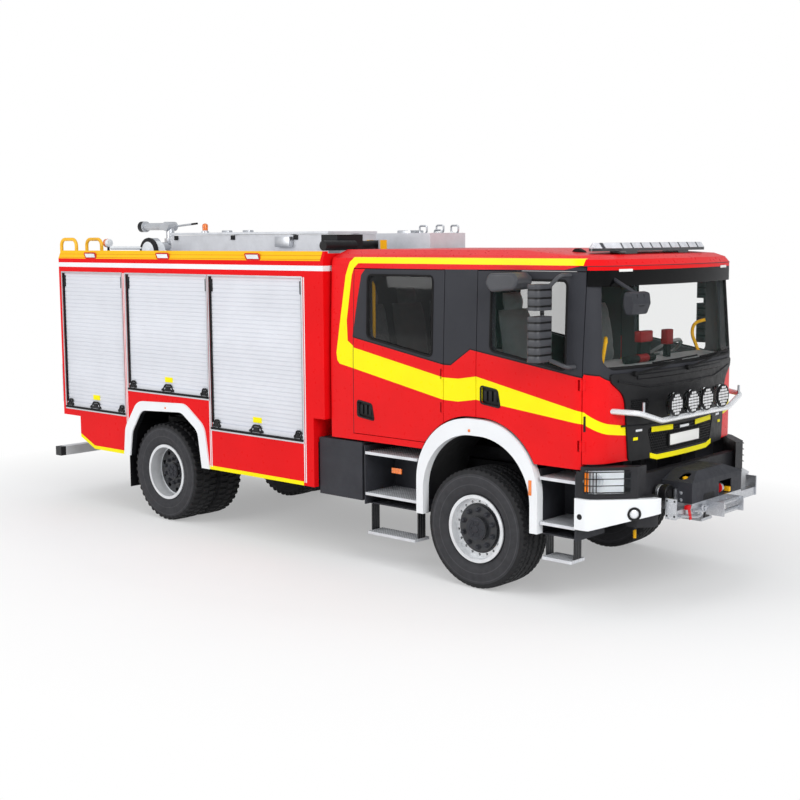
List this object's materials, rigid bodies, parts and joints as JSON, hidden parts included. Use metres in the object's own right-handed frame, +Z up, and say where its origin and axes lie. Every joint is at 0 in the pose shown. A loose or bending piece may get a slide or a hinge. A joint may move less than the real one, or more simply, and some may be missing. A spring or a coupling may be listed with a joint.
{
  "type": "rescue fire truck",
  "caption": "Crew-cab rescue fire truck with opening doors, roller-shutter lockers, steered front wheels, front winch, roof box, light mast and water monitor.",
  "frame": {"origin": "on the ground, midway along the overall length and on the centre line", "axes": "+X forwards, +Y to the truck's left, +Z up"},
  "size_m": [8.35, 2.96, 3.3009],
  "materials": {
    "red_paint": "gloss",
    "white_paint": "gloss",
    "yellow_paint": "gloss",
    "black_paint": "satin",
    "frame_paint": "satin",
    "grey_panel": "matte",
    "black_plastic": "matte",
    "cast_metal": "rough",
    "galvanised": "dull",
    "step_metal": "satin",
    "shutter_metal": "satin",
    "rim_metal": "satin",
    "tyre_rubber": "matte",
    "lamp_lens": "clear gloss",
    "window_glass": "tinted",
    "seat_cloth": "woven"
  },
  "bodies": {
    "chassis": {"chassis_frame": "frame_paint", "front_axle": "frame_paint", "rear_axle": "frame_paint", "powertrain": "cast_metal", "side_boxes": "grey_panel", "step_treads": "step_metal", "arch_liners": "black_plastic", "arch_trims": "white_paint", "bumper_corners": "white_paint", "front_apron": "black_plastic", "lamps": "lamp_lens", "front_panel": "black_plastic", "lamp_bar": "black_paint", "winch_frame": "galvanised", "winch_cover": "black_plastic", "cab_floor": "grey_panel", "cab_front": "red_paint", "cab_rear_wall": "red_paint", "cab_sides": "red_paint", "cab_roof": "red_paint", "windscreen": "window_glass", "sun_visor": "black_plastic", "front_mirror": "black_plastic", "light_bar": "lamp_lens", "seats": "seat_cloth", "dashboard": "black_plastic", "body_floor": "grey_panel", "body_walls": "red_paint", "body_sides": "red_paint", "body_roof": "red_paint", "shutters": "shutter_metal", "rear_ladder": "yellow_paint", "underrun_bar": "step_metal", "roof_boxes": "step_metal", "monitor_base": "step_metal"},
    "left_knuckle": {"knuckle_left": "cast_metal"},
    "right_knuckle": {"knuckle_right": "cast_metal"},
    "front_left_wheel": {"tyre_front_left": "tyre_rubber", "rim_front_left": "rim_metal"},
    "front_right_wheel": {"tyre_front_right": "tyre_rubber", "rim_front_right": "rim_metal"},
    "rear_left_wheels": {"tyres_rear_left": "tyre_rubber", "rim_rear_left": "rim_metal"},
    "rear_right_wheels": {"tyres_rear_right": "tyre_rubber", "rim_rear_right": "rim_metal"},
    "front_left_door": {"door_front_left": "red_paint", "glass_front_left": "window_glass", "mirrors_left": "black_plastic"},
    "front_right_door": {"door_front_right": "red_paint", "glass_front_right": "window_glass", "mirrors_right": "black_plastic"},
    "rear_left_door": {"door_rear_left": "red_paint", "glass_rear_left": "window_glass"},
    "rear_right_door": {"door_rear_right": "red_paint", "glass_rear_right": "window_glass"},
    "box_lid": {"roof_box_lid": "step_metal"},
    "monitor_body": {"monitor_swivel": "step_metal"},
    "monitor_tube": {"monitor_barrel": "step_metal"},
    "mast": {"light_mast": "black_paint"}
  },
  "joints": [
    {"name": "steer_left", "type": "hinge", "parent": "chassis", "child": "left_knuckle", "pos_m": [2.325, 0.905, 0.535], "axis": [0, 0, 1], "range_deg": [-38, 38]},
    {"name": "steer_right", "type": "hinge", "parent": "chassis", "child": "right_knuckle", "pos_m": [2.325, -0.905, 0.535], "axis": [0, 0, 1], "range_deg": [-38, 38]},
    {"name": "spin_front_left", "type": "hinge", "parent": "left_knuckle", "child": "front_left_wheel", "pos_m": [2.325, 1.028, 0.535], "axis": [0, 1, 0], "continuous": true},
    {"name": "spin_front_right", "type": "hinge", "parent": "right_knuckle", "child": "front_right_wheel", "pos_m": [2.325, -1.028, 0.535], "axis": [0, 1, 0], "continuous": true},
    {"name": "spin_rear_left", "type": "hinge", "parent": "chassis", "child": "rear_left_wheels", "pos_m": [-2.025, 0.888, 0.538], "axis": [0, 1, 0], "continuous": true},
    {"name": "spin_rear_right", "type": "hinge", "parent": "chassis", "child": "rear_right_wheels", "pos_m": [-2.025, -0.888, 0.538], "axis": [0, 1, 0], "continuous": true},
    {"name": "open_front_left", "type": "hinge", "parent": "chassis", "child": "front_left_door", "pos_m": [3.402, 1.179, 1.6], "axis": [0, 0, -1], "range_deg": [0, 75]},
    {"name": "open_front_right", "type": "hinge", "parent": "chassis", "child": "front_right_door", "pos_m": [3.402, -1.179, 1.6], "axis": [0, 0, 1], "range_deg": [0, 75]},
    {"name": "open_rear_left", "type": "hinge", "parent": "chassis", "child": "rear_left_door", "pos_m": [1.944, 1.19, 1.7], "axis": [0, 0, -1], "range_deg": [0, 75]},
    {"name": "open_rear_right", "type": "hinge", "parent": "chassis", "child": "rear_right_door", "pos_m": [1.944, -1.19, 1.7], "axis": [0, 0, 1], "range_deg": [0, 75]},
    {"name": "open_box_lid", "type": "hinge", "parent": "chassis", "child": "box_lid", "pos_m": [-1.265, 0.064, 3.138], "axis": [-1, 0, 0], "range_deg": [0, 80]},
    {"name": "turn_monitor", "type": "hinge", "parent": "chassis", "child": "monitor_body", "pos_m": [-3.365, 0, 3.06], "axis": [0, 0, 1], "range_deg": [-170, 170]},
    {"name": "tilt_monitor", "type": "hinge", "parent": "monitor_body", "child": "monitor_tube", "pos_m": [-3.365, 0, 3.235], "axis": [0, 1, 0], "range_deg": [-10, 75]},
    {"name": "raise_mast", "type": "hinge", "parent": "chassis", "child": "mast", "pos_m": [0.275, -0.25, 3.01], "axis": [-1, 0, 0], "range_deg": [0, 90]}
  ],
  "couplings": [
    {"joint": "steer_right", "follows": "steer_left", "ratio": 1}
  ]
}
